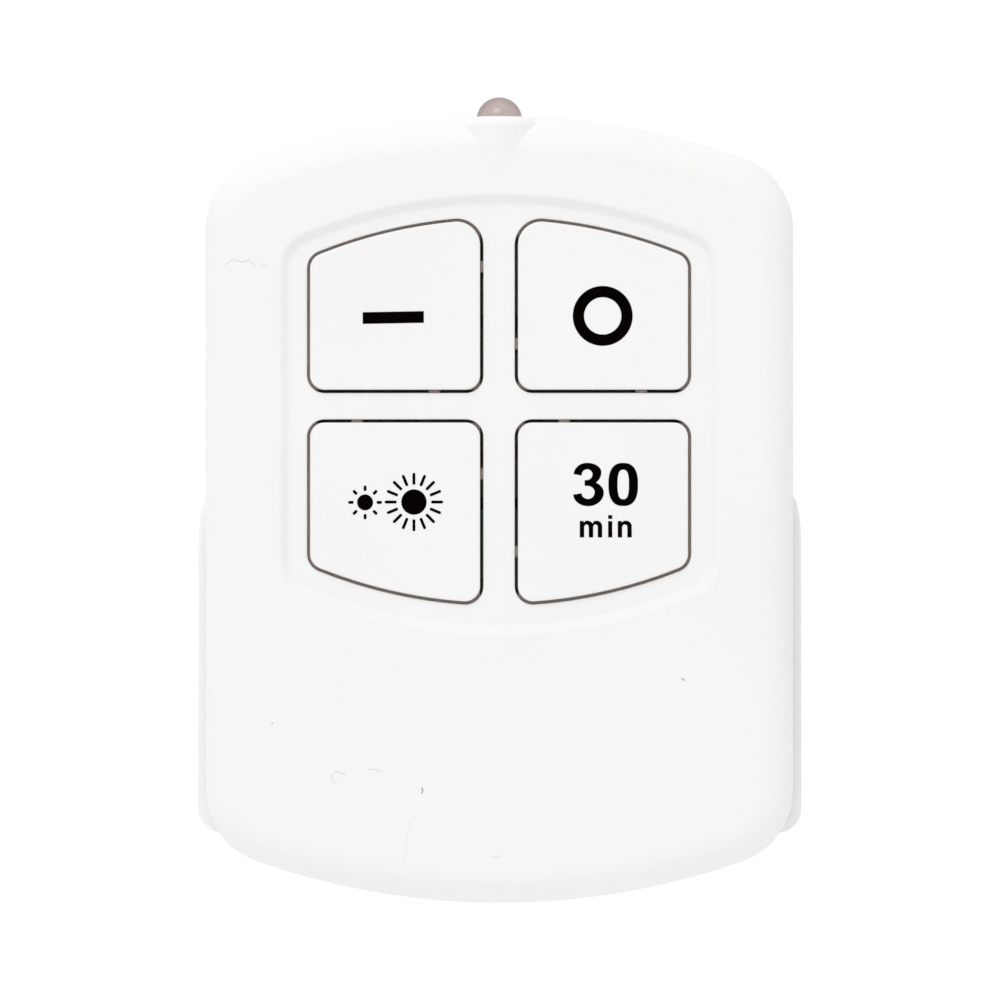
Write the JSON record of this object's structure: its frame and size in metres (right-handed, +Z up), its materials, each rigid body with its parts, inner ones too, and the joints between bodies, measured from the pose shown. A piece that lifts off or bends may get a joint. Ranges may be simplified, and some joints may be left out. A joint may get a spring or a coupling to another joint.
{
  "type": "wireless remote control",
  "caption": "Flat infrared remote control with bowed ends, push keys in a recessed field and an emitter at its top edge, seated in a slide-in wall holder.",
  "frame": {"origin": "middle of the wall holder's flat wall face, half-way between its two screw holes", "axes": "+Z up along the remote's height, +Y into the wall, +X to the right as seen by the user; the keys face -Y"},
  "size_m": [0.0662, 0.0209, 0.0877],
  "materials": {
    "holder_plastic": "white moulded plastic, fine grain",
    "case_plastic": "white moulded plastic, satin",
    "key_plastic": "white moulded plastic, satin, black printed signs",
    "emitter_resin": "tinted clear casting resin",
    "tinned_metal": "tinned",
    "board_laminate": "green lacquered laminate",
    "black_resin": "moulded resin",
    "ceramic": "dipped ceramic",
    "can_metal": "drawn can",
    "cell_jacket": "plain printed jacket over a steel can",
    "contact_metal": "nickel-plated spring strip",
    "screw_steel": "zinc-plated"
  },
  "bodies": {
    "holder": {"wall_holder": "holder_plastic"},
    "remote": {"front_shell": "case_plastic", "rear_shell": "case_plastic", "switch_terminals": "tinned_metal", "circuit_board": "board_laminate", "infrared_led": "emitter_resin", "led_leads": "tinned_metal", "encoder_chip": "black_resin", "chip_pins": "tinned_metal", "resonator": "ceramic", "driver_transistor": "black_resin", "reservoir_capacitor": "can_metal", "resistors": "black_resin", "upper_cell": "cell_jacket", "lower_cell": "cell_jacket", "positive_contact": "contact_metal", "negative_contact": "contact_metal", "bridge_contact": "contact_metal", "case_screws": "screw_steel", "on_switch": "black_resin", "off_switch": "black_resin", "dimmer_switch": "black_resin", "timer_switch": "black_resin"},
    "cover": {"battery_cover": "case_plastic"},
    "on_button": {"on_key": "key_plastic", "on_plunger": "black_resin"},
    "off_button": {"off_key": "key_plastic", "off_plunger": "black_resin"},
    "dimmer_button": {"dimmer_key": "key_plastic", "dimmer_plunger": "black_resin"},
    "timer_button": {"timer_key": "key_plastic", "timer_plunger": "black_resin"}
  },
  "joints": [
    {"name": "dock_slide", "type": "slide", "parent": "holder", "child": "remote", "axis": [0, 0, 1], "range_m": [0, 0.032]},
    {"name": "cover_slide", "type": "slide", "parent": "remote", "child": "cover", "axis": [0, 0, -1], "range_m": [0, 0.029]},
    {"name": "on_press", "type": "slide", "parent": "remote", "child": "on_button", "axis": [0, 1, 0], "range_m": [0, 0.00035], "stiffness_N_per_m": 4000, "springref_m": -0.0001},
    {"name": "off_press", "type": "slide", "parent": "remote", "child": "off_button", "axis": [0, 1, 0], "range_m": [0, 0.00035], "stiffness_N_per_m": 4000, "springref_m": -0.0001},
    {"name": "dimmer_press", "type": "slide", "parent": "remote", "child": "dimmer_button", "axis": [0, 1, 0], "range_m": [0, 0.00035], "stiffness_N_per_m": 4000, "springref_m": -0.0001},
    {"name": "timer_press", "type": "slide", "parent": "remote", "child": "timer_button", "axis": [0, 1, 0], "range_m": [0, 0.00035], "stiffness_N_per_m": 4000, "springref_m": -0.0001}
  ]
}
